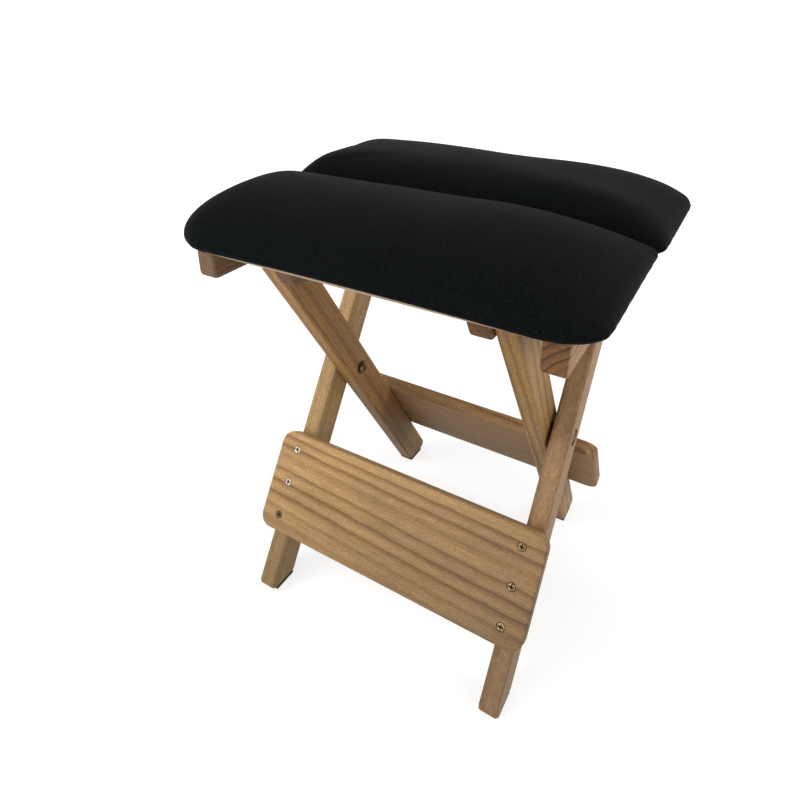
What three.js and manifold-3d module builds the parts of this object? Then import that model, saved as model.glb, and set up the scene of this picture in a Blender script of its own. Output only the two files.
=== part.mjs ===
// A folding bench: two crossed leg frames and a padded seat in two halves.
// Millimetres, +Z up, the front towards -Y, the middle of the footprint at the origin.

import * as THREE from 'three';
import { mergeVertices } from 'three/addons/utils/BufferGeometryUtils.js';
import Module from 'manifold-3d';

const wasm = await Module();
wasm.setup();

// Sizes of the leg frames

const clearance = 0.3;
const legThickness = 18;
const legWidth = 34;
const legTiltDegrees = 32.4;
const legTilt = THREE.MathUtils.degToRad(legTiltDegrees);
const outerHalfWidth = 136;
const legPivotHeight = 212;
const edgeBevel = 2.2;
const edgeBevelSteps = 2;
const footPadThickness = 3;
const footPadInset = 0.5;
const footToeRadius = 7;
const footHeelRadius = 3;

// Sizes of the two boards between the legs

const boardOverhang = 9.5;
const boardWidth = 103;
const boardThickness = 15;
const boardCornerRadius = 13;
const frontBoardShift = 2;
const boardTopBelowPivot = 84.5;
const boardScrewSpacing = 35;
const leftScrewInset = 1;
const rightScrewInset = 4.5;

// Sizes of the seat halves

const baseUndersideHeight = 393;
const outerRailHeight = 30;
const innerRailHeight = 35.5;
const railCornerRadius = 5;
const railSetback = 12;
const railPivotEnd = 32.5;
const railEndTiltDegrees = 29;
const seatPivotBelowBase = 17.5;
const baseThickness = 9;
const baseOverhang = 11;
const baseOuterEdge = 160.5;
const baseOuterCornerRadius = 36;
const baseSeamCornerRadius = 8;
const seatScrewInset = 34;
const coverThickness = 1.6;
const coverHemRise = 3.6;
const cushionBulge = 5;
const cushionBulgeRise = 13;
const cushionCrownRise = 44.5;
const cushionRoundness = 1.8;
const cushionOuterShare = 0.6;
const cushionSteepEnd = 42;
const cushionLongEnd = 112;
const crownCornerShare = 0.45;
const crownHalfWidth = 3;
const seamHalfGap = 0.4;

// Sizes of the hardware

const boltRadius = 3;
const boltHeadRadius = 5.4;
const boltHeadHeight = 4.2;
const boltFlangeRadius = 7.2;
const boltFlangeHeight = 1;
const counterboreRadius = 8.3;
const counterboreDepth = 5;
const nutRadius = 5.6;
const nutHeight = 4;
const boltEndBeyondNut = 0.5;
const washerRadius = 8;
const legPivotGap = 3;
const outerRailGap = 3;
const innerRailGap = 1.2;
const screwHeadRadius = 4;
const screwHeadHeight = 2.6;
const screwShankRadius = 1.7;
const screwLength = 30;
const screwPointLength = 5;
const recessWidth = 1.3;
const recessLength = 4.6;
const recessDepth = 1.6;

// Places that follow from the sizes

const outerLegMiddle = outerHalfWidth - legThickness / 2;
const innerLegMiddle = outerLegMiddle - legThickness - legPivotGap;
const outerRailMiddle = outerLegMiddle + legThickness + outerRailGap;
const innerRailMiddle = innerLegMiddle - legThickness - innerRailGap;
const boardLength = 2 * (outerHalfWidth + boardOverhang);
const railFrontEnd = baseOuterEdge - railSetback;
const baseHalfLength = outerRailMiddle + legThickness / 2 + baseOverhang;
const seatPivotHeight = baseUndersideHeight - seatPivotBelowBase;
const seatPivotAlongLeg = (seatPivotHeight - legPivotHeight) / Math.cos(legTilt);
const seatPivotForward = seatPivotAlongLeg * Math.sin(legTilt);
const baseSeamEdge = seamHalfGap + cushionBulge + coverThickness + clearance;

// Materials

function wood(color) {
  return new THREE.MeshStandardMaterial({ color, roughness: 0.62, metalness: 0 });
}

const woodLeg = () => wood(0x9c7a55);
const woodBoard = () => wood(0xad8c63);
const woodRail = () => wood(0x86664a);
const plywood = () => wood(0xb89a72);
const blackLeatherette = () => new THREE.MeshStandardMaterial({ color: 0x17191b, roughness: 0.55, metalness: 0 });
const paleFoam = () => new THREE.MeshStandardMaterial({ color: 0xd8cfa8, roughness: 0.95, metalness: 0 });
const blackRubber = () => new THREE.MeshStandardMaterial({ color: 0x141414, roughness: 0.85, metalness: 0 });
const brightSteel = () => new THREE.MeshStandardMaterial({ color: 0xb4b0a6, roughness: 0.32, metalness: 1 });

// Solids

function welded(geometry) {
  const bare = geometry.clone();
  bare.deleteAttribute('normal');
  bare.deleteAttribute('uv');
  const joined = mergeVertices(bare);
  const corners = [];
  for (let i = 0; i < joined.index.count; i += 3) {
    const a = joined.index.getX(i);
    const b = joined.index.getX(i + 1);
    const c = joined.index.getX(i + 2);
    if (a !== b && b !== c && c !== a) {
      corners.push(a, b, c);
    }
  }
  joined.setIndex(corners);
  return joined;
}

function toSolid(geometry) {
  const joined = welded(geometry);
  return new wasm.Manifold(new wasm.Mesh({
    numProp: 3,
    vertProperties: new Float32Array(joined.attributes.position.array),
    triVerts: new Uint32Array(joined.index.array),
  }));
}

function toGeometry(solid) {
  const mesh = solid.getMesh();
  const geometry = new THREE.BufferGeometry();
  geometry.setAttribute('position', new THREE.BufferAttribute(new Float32Array(mesh.vertProperties), 3));
  geometry.setIndex(Array.from(mesh.triVerts));
  return geometry;
}

function cut(geometry, tools) {
  let solid = toSolid(geometry);
  for (const tool of tools) {
    solid = solid.subtract(toSolid(tool));
  }
  return toGeometry(solid);
}

function named(name, geometry, material) {
  const shaded = geometry.index ? geometry.toNonIndexed() : geometry;
  shaded.computeVertexNormals();
  const mesh = new THREE.Mesh(shaded, material);
  mesh.name = name;
  return mesh;
}

function moved(geometry, x, y, z) {
  return geometry.clone().translate(x, y, z);
}

// Outlines: each corner is a point with a rounding radius. Where two arcs meet, only one point stays.

const radiusRoundingShare = 1e-6;

function roundedOutline(corners, stepsPerCorner) {
  const points = [];
  corners.forEach(([x, y, radius], index) => {
    const here = new THREE.Vector2(x, y);
    if (!radius) {
      points.push(here);
      return;
    }
    const before = corners[(index + corners.length - 1) % corners.length];
    const after = corners[(index + 1) % corners.length];
    const back = new THREE.Vector2(before[0], before[1]).sub(here).normalize();
    const forth = new THREE.Vector2(after[0], after[1]).sub(here).normalize();
    const halfAngle = Math.acos(back.dot(forth)) / 2;
    const reach = radius / Math.sin(halfAngle);
    const centre = back.clone().add(forth).normalize().multiplyScalar(reach).add(here);
    const start = back.clone().multiplyScalar(radius / Math.tan(halfAngle)).add(here).sub(centre);
    const end = forth.clone().multiplyScalar(radius / Math.tan(halfAngle)).add(here).sub(centre);
    const turn = Math.atan2(start.cross(end), start.dot(end));
    for (let step = 0; step <= stepsPerCorner; step += 1) {
      const part = start.clone().rotateAround(new THREE.Vector2(), turn * step / stepsPerCorner);
      points.push(part.add(centre));
    }
  });
  return points.filter((point, index) => {
    const before = points[(index + points.length - 1) % points.length];
    return point.distanceTo(before) > radiusRoundingShare * point.length();
  });
}

// A bevelled plate of an outline in the Y-Z plane, its thickness along X about the middle
function plateAlongX(outline, thickness) {
  const plate = new THREE.ExtrudeGeometry(new THREE.Shape(outline), {
    depth: thickness - 2 * edgeBevel,
    bevelEnabled: true,
    bevelSize: edgeBevel,
    bevelOffset: -edgeBevel,
    bevelThickness: edgeBevel,
    bevelSegments: edgeBevelSteps,
  });
  plate.translate(0, 0, edgeBevel - thickness / 2);
  plate.rotateX(Math.PI / 2);
  plate.rotateZ(Math.PI / 2);
  return plate;
}

function cylinderAlongX(radius, fromX, toX, sides) {
  const cylinder = new THREE.CylinderGeometry(radius, radius, Math.abs(toX - fromX), sides);
  cylinder.rotateZ(Math.PI / 2);
  return cylinder.translate((fromX + toX) / 2, 0, 0);
}

// A turned solid about Z: the profile is a list of radius and height, from bottom to top
function turned(profile, sides) {
  return new THREE.LatheGeometry(profile.map(([radius, height]) => new THREE.Vector2(radius, height)), sides)
    .rotateX(Math.PI / 2);
}

function crossRecess() {
  const slot = new THREE.BoxGeometry(recessLength, recessWidth, 2 * recessDepth);
  return [slot, slot.clone().rotateZ(Math.PI / 2)];
}

// Hardware, each with its axis along Z, its head's outer face at z = 0 and the shank towards -Z

const hardwareSides = 12;

function screwProfile(spare, length) {
  return [
    [0, -length - spare],
    [screwShankRadius + spare, -length + screwPointLength],
    [screwShankRadius + spare, -screwHeadHeight - spare],
    [screwHeadRadius + spare, 0],
    [0, 0],
  ];
}

function screwGeometry(hasRecess) {
  const blank = turned(screwProfile(0, screwLength), hardwareSides);
  return hasRecess ? cut(blank, crossRecess()) : welded(blank);
}

function screwHole() {
  const hole = screwProfile(clearance, screwLength);
  hole.splice(-1, 1, [screwHeadRadius + clearance, screwHeadHeight], [0, screwHeadHeight]);
  return turned(hole, hardwareSides);
}

function boltGeometry(shankLength) {
  const blank = turned([
    [0, -boltHeadHeight - shankLength],
    [boltRadius, -boltHeadHeight - shankLength],
    [boltRadius, -boltHeadHeight],
    [boltFlangeRadius, -boltHeadHeight],
    [boltFlangeRadius, boltFlangeHeight - boltHeadHeight],
    [boltHeadRadius, boltFlangeHeight - boltHeadHeight],
    [boltHeadRadius, -boltHeadHeight / 2],
    [boltHeadRadius * 3 / 4, 0],
    [0, 0],
  ], hardwareSides);
  return cut(blank, crossRecess());
}

function nutGeometry() {
  const hexagon = new THREE.Shape();
  for (let side = 0; side < 6; side += 1) {
    const angle = side * Math.PI / 3;
    const place = [nutRadius * Math.cos(angle), nutRadius * Math.sin(angle)];
    if (side === 0) {
      hexagon.moveTo(...place);
    } else {
      hexagon.lineTo(...place);
    }
  }
  hexagon.closePath();
  const nut = new THREE.ExtrudeGeometry(hexagon, { depth: nutHeight, bevelEnabled: false });
  const bore = new THREE.CylinderGeometry(boltRadius + clearance, boltRadius + clearance, 4 * nutHeight, hardwareSides);
  return cut(nut, [bore.rotateX(Math.PI / 2)]);
}

function washerGeometry(thickness) {
  const disc = new THREE.CylinderGeometry(washerRadius, washerRadius, thickness, 2 * hardwareSides);
  const bore = new THREE.CylinderGeometry(boltRadius + clearance, boltRadius + clearance, 4 * thickness, hardwareSides);
  return cut(disc.rotateX(Math.PI / 2), [bore.rotateX(Math.PI / 2)]);
}

// Legs, in the frame of the leg pivot: Z up the leg, the toe towards -Y

function legOutline() {
  const half = legWidth / 2;
  const soleDrop = legPivotHeight - footPadThickness;
  const soleAt = (across) => (across * Math.sin(legTilt) - soleDrop) / Math.cos(legTilt);
  return roundedOutline([
    [half, soleAt(half), footHeelRadius],
    [half, seatPivotAlongLeg + half, half],
    [-half, seatPivotAlongLeg + half, half],
    [-half, soleAt(-half), footToeRadius],
  ], 5);
}

// The screw places down a board, measured along the leg from its pivot
const boardMiddleBelowPivot = boardTopBelowPivot + boardWidth / 2;
const screwDrops = [-1, 0, 1].map((step) => boardMiddleBelowPivot + step * boardScrewSpacing);
const boardFaceAcross = legWidth / 2 + clearance + boardThickness;

function turnedToFace(geometry) {
  return geometry.clone().rotateX(Math.PI / 2);
}

// A nut is sunk in a face that looks towards +X where its number is 1, towards -X where it is -1,
// and in neither where it is 0
function legGeometry(pivotFace, seatFace, screwShift) {
  const face = legThickness / 2;
  const spare = legThickness;
  const tools = [];
  for (const [height, side] of [[0, pivotFace], [seatPivotAlongLeg, seatFace]]) {
    tools.push(moved(cylinderAlongX(boltRadius + clearance, -spare, spare, hardwareSides), 0, 0, height));
    if (side) {
      const sunk = [side * (face - counterboreDepth), side * (face + counterboreDepth)];
      tools.push(moved(cylinderAlongX(counterboreRadius, ...sunk, 2 * hardwareSides), 0, 0, height));
    }
  }
  for (const drop of screwDrops) {
    tools.push(moved(turnedToFace(screwHole()), screwShift, -boardFaceAcross, -drop));
  }
  return cut(plateAlongX(legOutline(), legThickness), tools);
}

function footPadGeometry() {
  const half = legWidth / 2;
  const soleLength = legWidth / Math.cos(legTilt);
  const toeReach = footToeRadius / Math.tan((Math.PI / 2 - legTilt) / 2);
  const heelReach = footHeelRadius / Math.tan((Math.PI / 2 + legTilt) / 2);
  const padLength = soleLength - toeReach - heelReach;
  const heel = half / Math.cos(legTilt) - heelReach;
  const padWidth = legThickness - 2 * footPadInset;
  const height = footPadThickness - clearance;
  const pad = new THREE.BoxGeometry(padWidth, padLength, height);
  const footBehindPivot = -(legPivotHeight - footPadThickness) * Math.tan(legTilt);
  return pad.translate(0, footBehindPivot + heel - padLength / 2, height / 2);
}

// Boards across the legs

function boardGeometry() {
  const halfLength = boardLength / 2;
  const halfWidth = boardWidth / 2;
  const outline = roundedOutline([
    [halfLength, -halfWidth, boardCornerRadius],
    [halfLength, halfWidth, boardCornerRadius],
    [-halfLength, halfWidth, boardCornerRadius],
    [-halfLength, -halfWidth, boardCornerRadius],
  ], 5);
  const board = new THREE.ExtrudeGeometry(new THREE.Shape(outline), {
    depth: boardThickness - 2 * edgeBevel,
    bevelEnabled: true,
    bevelSize: edgeBevel,
    bevelOffset: -edgeBevel,
    bevelThickness: edgeBevel,
    bevelSegments: edgeBevelSteps,
  });
  board.translate(0, 0, edgeBevel);
  board.rotateX(Math.PI / 2);
  board.translate(0, -legWidth / 2 - clearance, -boardMiddleBelowPivot);
  return board;
}

function boardWithHoles(shift, screwMiddles) {
  const tools = [];
  for (const screwMiddle of screwMiddles) {
    for (const drop of screwDrops) {
      tools.push(moved(turnedToFace(screwHole()), screwMiddle, -boardFaceAcross, -drop));
    }
  }
  return cut(moved(boardGeometry(), shift, 0, 0), tools);
}

// The side of each name in a group as built, and in one that is then turned half round
const sides = [['left', -1], ['right', 1]];
const turnedSides = [['left', 1], ['right', -1]];
const screwInsets = { left: leftScrewInset, right: rightScrewInset };
const stations = [['top', 0], ['middle', 1], ['bottom', 2]];

// A leg frame built with its toes towards -Y: two legs, two foot pads, a board and its screws. The numbers
// pivotOutward and seatOutward say which face a nut is sunk in: 1 the outer, -1 the inner, 0 neither.
function legFrame(prefix, boardName, { legMiddle, boardShift, pivotOutward, seatOutward, namedSides }) {
  const frame = new THREE.Group();
  const pads = new THREE.Group();
  const screwMiddles = [];
  for (const [sideName, side] of namedSides) {
    const screwShift = -side * screwInsets[sideName];
    const leg = named(`${prefix}_leg_${sideName}`,
      legGeometry(side * pivotOutward, side * seatOutward, screwShift), woodLeg());
    leg.position.set(side * legMiddle, 0, 0);
    frame.add(leg);
    const pad = named(`${prefix}_foot_pad_${sideName}`, footPadGeometry(), blackRubber());
    pad.position.set(side * legMiddle, 0, 0);
    pads.add(pad);
    screwMiddles.push(side * legMiddle + screwShift);
    for (const [stationName, station] of stations) {
      const screw = named(`${boardName}_screw_${sideName}_${stationName}`,
        turnedToFace(screwGeometry(true)), brightSteel());
      screw.position.set(screwMiddles.at(-1), -boardFaceAcross, -screwDrops[station]);
      frame.add(screw);
    }
  }
  frame.add(named(boardName, boardWithHoles(boardShift, screwMiddles), woodBoard()));
  frame.rotation.x = -legTilt;
  frame.position.z = legPivotHeight;
  const whole = new THREE.Group();
  whole.add(frame, pads);
  return whole;
}

// Seat halves, built with the outer edge towards -Y and the seam at y = 0

function ring({ left, right, outer, seam }, outerRadius, seamRadius, height, stepsPerCorner) {
  return roundedOutline([
    [right, outer, outerRadius],
    [right, seam, seamRadius],
    [left, seam, seamRadius],
    [left, outer, outerRadius],
  ], stepsPerCorner).map((point) => new THREE.Vector3(point.x, point.y, height));
}

// Joins rings of equal length from the bottom up and closes both ends
function loft(rings) {
  const positions = [];
  const count = rings[0].length;
  for (const points of rings) {
    for (const point of points) {
      positions.push(point.x, point.y, point.z);
    }
  }
  const index = [];
  for (let level = 0; level + 1 < rings.length; level += 1) {
    for (let step = 0; step < count; step += 1) {
      const a = level * count + step;
      const b = level * count + (step + 1) % count;
      index.push(a, b, b + count, a, b + count, a + count);
    }
  }
  const last = (rings.length - 1) * count;
  for (let step = 1; step + 1 < count; step += 1) {
    index.push(0, step + 1, step);
    index.push(last, last + step, last + step + 1);
  }
  const geometry = new THREE.BufferGeometry();
  geometry.setAttribute('position', new THREE.Float32BufferAttribute(positions, 3));
  geometry.setIndex(index);
  return geometry;
}

// How far the cushion's side lies in from its widest place, at a height below that place
function sideInset(height) {
  const drop = (height - coverHemRise) / (cushionBulgeRise - coverHemRise);
  return cushionBulge * (1 - Math.sin(Math.acos(1 - drop)));
}

// A crowned cushion shape that lies `within` inside the cover's outer face, with heights above the
// underside of the seat base. Its top takes longest to rise from the end that longEnd names, 1 for +X.
function cushionShape(within, bottomHeight, bottomSteps, skirt, longEnd) {
  const cornerSteps = 6;
  const crownSteps = 9;
  const beyondBase = clearance + coverThickness + cushionBulge;
  const halfLength = baseHalfLength + beyondBase;
  const depth = baseOuterEdge + beyondBase - seamHalfGap;
  const slopes = depth - 2 * crownHalfWidth;
  const outerSlope = slopes * cushionOuterShare;
  const [leftSlope, rightSlope] = longEnd > 0 ? [cushionSteepEnd, cushionLongEnd] : [cushionLongEnd, cushionSteepEnd];
  const insetOf = (slope, inward, share) => inward + (slope - within) * share;
  const levelRing = (inward, share, height) => {
    const outerInset = insetOf(outerSlope, inward, share);
    const seamInset = insetOf(slopes - outerSlope, inward, share);
    const crownRadius = crownCornerShare * (depth - outerInset - seamInset);
    const [outerRadius, seamRadius] = [baseOuterCornerRadius, baseSeamCornerRadius]
      .map((radius) => THREE.MathUtils.lerp(radius + beyondBase - inward, crownRadius, share));
    return ring({
      left: insetOf(leftSlope, inward, share) - halfLength,
      right: halfLength - insetOf(rightSlope, inward, share),
      outer: outerInset - depth - seamHalfGap,
      seam: -seamHalfGap - seamInset,
    }, outerRadius, seamRadius, height, cornerSteps);
  };
  const rings = [];
  if (skirt) {
    rings.push(levelRing(within + sideInset(bottomHeight), 0, bottomHeight - skirt));
  }
  for (let step = 0; step < bottomSteps; step += 1) {
    const angle = Math.PI / 2 * step / bottomSteps;
    const height = bottomHeight + (cushionBulgeRise - bottomHeight) * (1 - Math.cos(angle));
    rings.push(levelRing(within + sideInset(height), 0, height));
  }
  const crownHeight = cushionCrownRise - within - cushionBulgeRise;
  for (let step = 0; step <= crownSteps; step += 1) {
    const angle = Math.PI / 2 * step / crownSteps;
    const share = 1 - Math.cos(angle) ** (2 / cushionRoundness);
    const rise = crownHeight * Math.sin(angle) ** (2 / cushionRoundness);
    rings.push(levelRing(within, share, cushionBulgeRise + rise));
  }
  return loft(rings);
}

function coverGeometry(longEnd) {
  const cavitySkirt = 2 * coverHemRise;
  const cavity = cushionShape(coverThickness, coverHemRise, 4, cavitySkirt, longEnd);
  return cut(cushionShape(0, coverHemRise, 4, 0, longEnd), [cavity]);
}

function foamGeometry(longEnd) {
  return welded(cushionShape(coverThickness + clearance, baseThickness + clearance, 1, 0, longEnd));
}

const screwPlaces = [['outer', baseOuterEdge - seatScrewInset], ['seam', seatScrewInset]];

function baseGeometry(railMiddle) {
  const outline = roundedOutline([
    [baseHalfLength, -baseOuterEdge, baseOuterCornerRadius],
    [baseHalfLength, -baseSeamEdge, baseSeamCornerRadius],
    [-baseHalfLength, -baseSeamEdge, baseSeamCornerRadius],
    [-baseHalfLength, -baseOuterEdge, baseOuterCornerRadius],
  ], 4);
  const base = new THREE.ExtrudeGeometry(new THREE.Shape(outline), { depth: baseThickness, bevelEnabled: false });
  const tools = [];
  for (const [, side] of sides) {
    for (const [, forward] of screwPlaces) {
      tools.push(moved(screwHole(), side * railMiddle, -forward, baseThickness));
    }
  }
  return cut(base, tools);
}

// A rail, its top at z = 0: screws from above, the bolt sunk in the face that looks away from its leg.
// Its pivot end is cut at a slant, so that the end's lower corner lies further in.
const railEndTilt = THREE.MathUtils.degToRad(railEndTiltDegrees);

function railGeometry(height, boltFace) {
  const pivotEnd = seatPivotForward + railPivotEnd;
  const outline = roundedOutline([
    [-railFrontEnd, -height, railCornerRadius],
    [pivotEnd - height * Math.tan(railEndTilt), -height, railCornerRadius],
    [pivotEnd, 0, railCornerRadius],
    [-railFrontEnd, 0, railCornerRadius],
  ], 3);
  const face = legThickness / 2;
  const sunk = [boltFace * (face - counterboreDepth), boltFace * (face + counterboreDepth)];
  const pivot = [0, seatPivotForward, clearance - seatPivotBelowBase];
  const tools = [
    moved(cylinderAlongX(boltRadius + clearance, -legThickness, legThickness, hardwareSides), ...pivot),
    moved(cylinderAlongX(counterboreRadius, ...sunk, 2 * hardwareSides), ...pivot),
  ];
  for (const [, forward] of screwPlaces) {
    tools.push(moved(screwHole(), 0, -forward, baseThickness + clearance));
  }
  return cut(plateAlongX(outline, legThickness), tools);
}

function seatHalf(prefix, { railMiddle, railHeight, boltOutward, longEnd, namedSides }) {
  const half = new THREE.Group();
  for (const [sideName, side] of namedSides) {
    const rail = named(`${prefix}_seat_rail_${sideName}`, railGeometry(railHeight, side * boltOutward), woodRail());
    rail.position.set(side * railMiddle, 0, -clearance);
    half.add(rail);
    for (const [placeName, forward] of screwPlaces) {
      const screw = named(`${prefix}_seat_screw_${sideName}_${placeName}`, screwGeometry(false), brightSteel());
      screw.position.set(side * railMiddle, -forward, baseThickness);
      half.add(screw);
    }
  }
  half.add(named(`${prefix}_seat_base`, baseGeometry(railMiddle), plywood()));
  half.add(named(`${prefix}_seat_foam`, foamGeometry(longEnd), paleFoam()));
  half.add(named(`${prefix}_seat_cover`, coverGeometry(longEnd), blackLeatherette()));
  half.position.z = baseUndersideHeight;
  return half;
}

// A pivot: bolt, washer and nut along X. The bolt's head faces `headward` (1 for +X) and lies `headSunk`
// below its face.
function pivotSet(prefix, sideName, { headFace, headSunk, nutFace, washerBetween, headward, place }) {
  const [washerFrom, washerTo] = washerBetween;
  const seated = headFace - headward * headSunk;
  const nutSeat = nutFace + headward * counterboreDepth;
  const shank = Math.abs(nutSeat - seated) + 2 * clearance + nutHeight + boltEndBeyondNut;
  const turn = headward * Math.PI / 2;
  const bolt = named(`${prefix}_bolt_${sideName}`, boltGeometry(shank), brightSteel());
  bolt.geometry.rotateY(turn);
  bolt.position.set(seated + headward * (boltHeadHeight + clearance), ...place);
  const nut = named(`${prefix}_nut_${sideName}`, nutGeometry(), brightSteel());
  nut.geometry.rotateY(turn);
  nut.position.set(nutSeat - headward * (nutHeight + clearance), ...place);
  const washer = named(`${prefix}_washer_${sideName}`,
    washerGeometry(Math.abs(washerTo - washerFrom) - 2 * clearance), brightSteel());
  washer.geometry.rotateY(turn);
  washer.position.set((washerFrom + washerTo) / 2, ...place);
  return [bolt, nut, washer];
}

// The whole bench

const bench = new THREE.Group();
bench.name = 'folding_bench';

const innerFrame = legFrame('inner', 'rear_board', {
  legMiddle: innerLegMiddle, boardShift: 0, pivotOutward: 0, seatOutward: 1, namedSides: turnedSides,
});
innerFrame.rotation.z = Math.PI;
bench.add(innerFrame, legFrame('outer', 'front_board', {
  legMiddle: outerLegMiddle, boardShift: -frontBoardShift, pivotOutward: 1, seatOutward: -1, namedSides: sides,
}));

const rearSeat = seatHalf('rear', {
  railMiddle: innerRailMiddle, railHeight: innerRailHeight, boltOutward: -1, longEnd: -1, namedSides: turnedSides,
});
rearSeat.rotation.z = Math.PI;
bench.add(rearSeat, seatHalf('front', {
  railMiddle: outerRailMiddle, railHeight: outerRailHeight, boltOutward: 1, longEnd: 1, namedSides: sides,
}));

const half = legThickness / 2;
for (const [sideName, side] of sides) {
  const face = (middle, outward) => side * (middle + outward * half);
  bench.add(...pivotSet('leg_pivot', sideName, {
    headFace: face(innerLegMiddle, -1),
    headSunk: 0,
    nutFace: face(outerLegMiddle, 1),
    washerBetween: [face(innerLegMiddle, 1), face(outerLegMiddle, -1)],
    headward: -side,
    place: [0, legPivotHeight],
  }));
  bench.add(...pivotSet('front_seat_pivot', sideName, {
    headFace: face(outerRailMiddle, 1),
    headSunk: counterboreDepth,
    nutFace: face(outerLegMiddle, -1),
    washerBetween: [face(outerLegMiddle, 1), face(outerRailMiddle, -1)],
    headward: side,
    place: [seatPivotForward, seatPivotHeight],
  }));
  bench.add(...pivotSet('rear_seat_pivot', sideName, {
    headFace: face(innerRailMiddle, -1),
    headSunk: counterboreDepth,
    nutFace: face(innerLegMiddle, 1),
    washerBetween: [face(innerRailMiddle, 1), face(innerLegMiddle, -1)],
    headward: -side,
    place: [-seatPivotForward, seatPivotHeight],
  }));
}

export default bench;
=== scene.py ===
# The looks of a folding bench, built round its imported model.
# Metres, +Z up, the front towards -Y, the middle of the footprint at the origin.

import math
from dataclasses import dataclass

import bpy
from mathutils import Matrix, Vector, noise


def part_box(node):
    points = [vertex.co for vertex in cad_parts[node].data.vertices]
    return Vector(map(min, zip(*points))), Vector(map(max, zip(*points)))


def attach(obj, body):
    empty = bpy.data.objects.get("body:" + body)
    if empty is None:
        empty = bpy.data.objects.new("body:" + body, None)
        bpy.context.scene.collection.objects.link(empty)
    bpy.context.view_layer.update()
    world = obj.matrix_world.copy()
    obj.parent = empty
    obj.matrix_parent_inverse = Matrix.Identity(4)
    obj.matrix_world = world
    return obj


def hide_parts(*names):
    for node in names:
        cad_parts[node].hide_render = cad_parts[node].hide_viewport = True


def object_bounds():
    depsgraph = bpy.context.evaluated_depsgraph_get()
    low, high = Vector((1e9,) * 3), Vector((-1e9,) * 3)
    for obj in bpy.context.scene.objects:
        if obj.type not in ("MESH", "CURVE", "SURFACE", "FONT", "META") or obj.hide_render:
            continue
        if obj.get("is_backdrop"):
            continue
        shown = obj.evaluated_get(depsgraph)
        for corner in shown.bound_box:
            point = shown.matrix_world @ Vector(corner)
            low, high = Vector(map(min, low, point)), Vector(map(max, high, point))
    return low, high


MM = 0.001

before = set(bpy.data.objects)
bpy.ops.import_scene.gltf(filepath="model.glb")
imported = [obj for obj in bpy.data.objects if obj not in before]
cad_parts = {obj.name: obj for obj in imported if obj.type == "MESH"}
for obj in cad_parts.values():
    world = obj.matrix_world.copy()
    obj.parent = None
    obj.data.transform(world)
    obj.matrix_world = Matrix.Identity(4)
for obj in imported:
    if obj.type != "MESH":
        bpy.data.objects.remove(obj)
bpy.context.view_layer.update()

# Places and directions of the wooden pieces

LEG_TILT = math.radians(32.4)
LEG_WIDTH = 34 * MM
TIMBER_THICKNESS = 18 * MM
BOARD_WIDTH = 103 * MM
BOARD_THICKNESS = 15 * MM

ACROSS = Vector((1, 0, 0))
FORWARD = Vector((0, 1, 0))
UP = Vector((0, 0, 1))
OUTER_LEG_UP = Vector((0, math.sin(LEG_TILT), math.cos(LEG_TILT)))
INNER_LEG_UP = Vector((0, -math.sin(LEG_TILT), math.cos(LEG_TILT)))


def middle(node):
    low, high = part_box(node)
    return (low + high) / 2


def tone(red, green, blue):
    """A colour written as it shows on a screen, 0 to 255, as a linear colour."""
    def linear(value):
        share = value / 255
        return share / 12.92 if share <= 0.04045 else ((share + 0.055) / 1.055) ** 2.4
    return (linear(red), linear(green), linear(blue), 1)


# Materials

# A mix node has sockets of one name for each kind of value, so those for colours are taken by their place.
MIX_FIRST_COLOUR = 6
MIX_SECOND_COLOUR = 7
MIX_COLOUR = 2

# The usual span of a noise's values, for spreading them over a range
NOISE_SPAN = (0.3, 0.7)


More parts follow.
